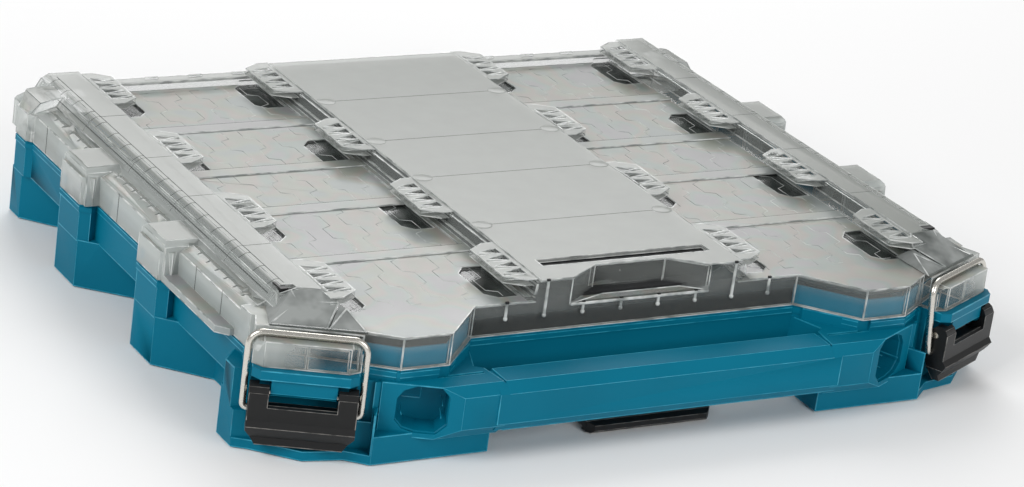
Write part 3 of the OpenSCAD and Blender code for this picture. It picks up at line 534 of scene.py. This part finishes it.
# Black blocks in the slot and near the front ends of the side rails: painted shade.
work = bmesh.new()
block(work, (-0.0622, -0.1567, 0.0765), (0.0622, -0.1473, 0.0915))
for side in (-1, 1):
    block(work, (side * 0.2400 - 0.0050, -0.1538, 0.0880), (side * 0.2400 + 0.0025 + side * 0.0020, -0.1422, 0.0941))
placed("slot_painted_shade", work, "lid", black_nylon, 0.0003)
work = bmesh.new()
block(work, (-0.1195, -0.17455, 0.0596), (0.1195, -0.1738, 0.0710))
placed("seal_lip", work, "lid", black_rubber, 0.0002)

# Dark panes close the deck below the toothed flanges: painted shade for the openings there.
work = bmesh.new()
for side in (-1, 1):
    for k in range(4):
        for x in (0.0949, 0.2002):
            y = 0.111 * k
            block(work, (side * x - 0.0112, -0.1685 + y, 0.0788), (side * x + 0.0112, -0.1185 + y, 0.0796))
placed("flange_openings_painted_shade", work, "lid", painted_shade_edge)

# ---------------------------------------------------------------- seams of the side walls
# The clear side walls have upright mould seams in the middle of each bay, which
# go on over the shoulder. They are drawn dark grey as painted shade.
seams = []
for side in (-1, 1):
    for y in (-0.119, -0.081, 0.040, 0.162):
        seams.append(((side, 0, 0), [(side * 0.2660, y, 0.0600), (side * 0.2660, y, 0.0800)]))
ridges("side_seams", seams, 0.0008, 0.0003, "lid", painted_shade_edge)

# ---------------------------------------------------------------- bails, pins, springs and screws
# The bails are bent from drawn steel wire, and the pins, springs, screws and
# the washer are steel too. All are zinc plated, with faint drawing marks.
plated_steel, tree, shader = new_material("zinc_plated_drawn_steel")
place = add(tree, "TexCoord").outputs["Object"]
marks = add(tree, "TexNoise", {"Vector": place, "Scale": 700.0, "Detail": 2.0}).outputs["Fac"]
shader.inputs["Base Color"].default_value = colour("#D6D3CB")
shader.inputs["Metallic"].default_value = 1.0
gloss = add(tree, "MapRange", {"Value": marks, "To Min": 0.2, "To Max": 0.32}).outputs["Result"]
tree.links.new(gloss, shader.inputs["Roughness"])
round_steel = ("latch_bail_left", "latch_bail_right", "latch_pin_left", "latch_pin_right", "hinge_pins",
               "stack_tab_screws", "blade_washer", "blade_post_screw")
dress(round_steel + ("stack_tab_springs",), plated_steel)
for name in round_steel:
    nodes[name].data.shade_smooth()

# ---------------------------------------------------------------- foam liners
# The liners are cut from dark grey closed-cell polyethylene foam. The cut cells
# show as a fine pitted surface.
cut_foam, tree, shader = new_material("cut_closed_cell_foam")
place = add(tree, "TexCoord").outputs["Object"]
cells = add(tree, "TexVoronoi", {"Vector": place, "Scale": 700.0}).outputs["Distance"]
tone = add(tree, "ValToRGB", {"Fac": cells})
tone.color_ramp.elements[0].color = colour("#191A1B")
tone.color_ramp.elements[1].color = colour("#2E3032")
tree.links.new(tone.outputs["Color"], shader.inputs["Base Color"])
shader.inputs["Roughness"].default_value = 0.9
bump = add(tree, "Bump", {"Height": cells, "Strength": 0.2, "Distance": 0.0006})
tree.links.new(bump.outputs["Normal"], shader.inputs["Normal"])
dress(("blade_foam", "lid_foam"), cut_foam)

# ---------------------------------------------------------------- studio
# A pale floor, a white surround that lights the case evenly, three large soft
# boxes, and a camera at the photo's viewing angle, with less shift than the
# photo has, so that the case stays in the frame of every view.
paper, tree, shader = new_material("white_paper_floor")
shader.inputs["Base Color"].default_value = colour("#F4F4F4")
shader.inputs["Roughness"].default_value = 0.9
work = bmesh.new()
bmesh.ops.create_grid(work, x_segments=1, y_segments=1, size=6)
ground = bpy.data.meshes.new("floor")
work.to_mesh(ground)
work.free()
floor = bpy.data.objects.new("floor", ground)
ground.materials.append(paper)
bpy.context.scene.collection.objects.link(floor)

world = bpy.data.worlds.new("studio")
bpy.context.scene.world = world
world.use_nodes = True
tree = world.node_tree
back = tree.nodes["Background"]
back.inputs["Color"].default_value = (1, 1, 1, 1)
rays = add(tree, "LightPath")
seen = add(tree, "Math", {0: rays.outputs["Is Camera Ray"], 1: rays.outputs["Is Transmission Ray"]},
           operation="MAXIMUM").outputs[0]
level = add(tree, "MapRange", {"Value": seen, "To Min": 0.42, "To Max": 1.0}).outputs["Result"]
tree.links.new(level, back.inputs["Strength"])

for name, spot, size, power in (("key_box", (-2.4, -0.7, 1.9), 1.4, 44), ("front_box", (0.5, -2.6, 1.3), 1.2, 24),
                                ("back_box", (0.9, 1.9, 1.7), 1.6, 34)):
    lamp = bpy.data.lights.new(name, "AREA")
    lamp.size = size
    lamp.energy = power
    box = bpy.data.objects.new(name, lamp)
    box.location = spot
    box.rotation_euler = (Vector((0, 0, 0.05)) - Vector(spot)).to_track_quat("-Z", "Y").to_euler()
    bpy.context.scene.collection.objects.link(box)

eye = bpy.data.cameras.new("camera")
camera = bpy.data.objects.new("camera", eye)
bpy.context.scene.collection.objects.link(camera)
bpy.context.scene.camera = camera
eye.sensor_width = 36
eye.lens = 122.14
eye.shift_x, eye.shift_y = 0.1465, -0.0488
yaw, pitch, roll = (math.radians(a) for a in (-29.712, -21.240, 7.088))
ahead = Vector((-math.sin(yaw) * math.cos(pitch), math.cos(yaw) * math.cos(pitch), math.sin(pitch)))
right = Vector((math.cos(yaw), math.sin(yaw), 0))
up = right.cross(ahead)
across = math.cos(roll) * right + math.sin(roll) * up
upward = math.cos(roll) * up - math.sin(roll) * right
stand = Matrix.Translation((-1.16701, -1.85351, 0.91340))
camera.matrix_world = stand @ Matrix((across, upward, -ahead)).transposed().to_4x4()
bpy.context.scene.view_settings.view_transform = "Standard"
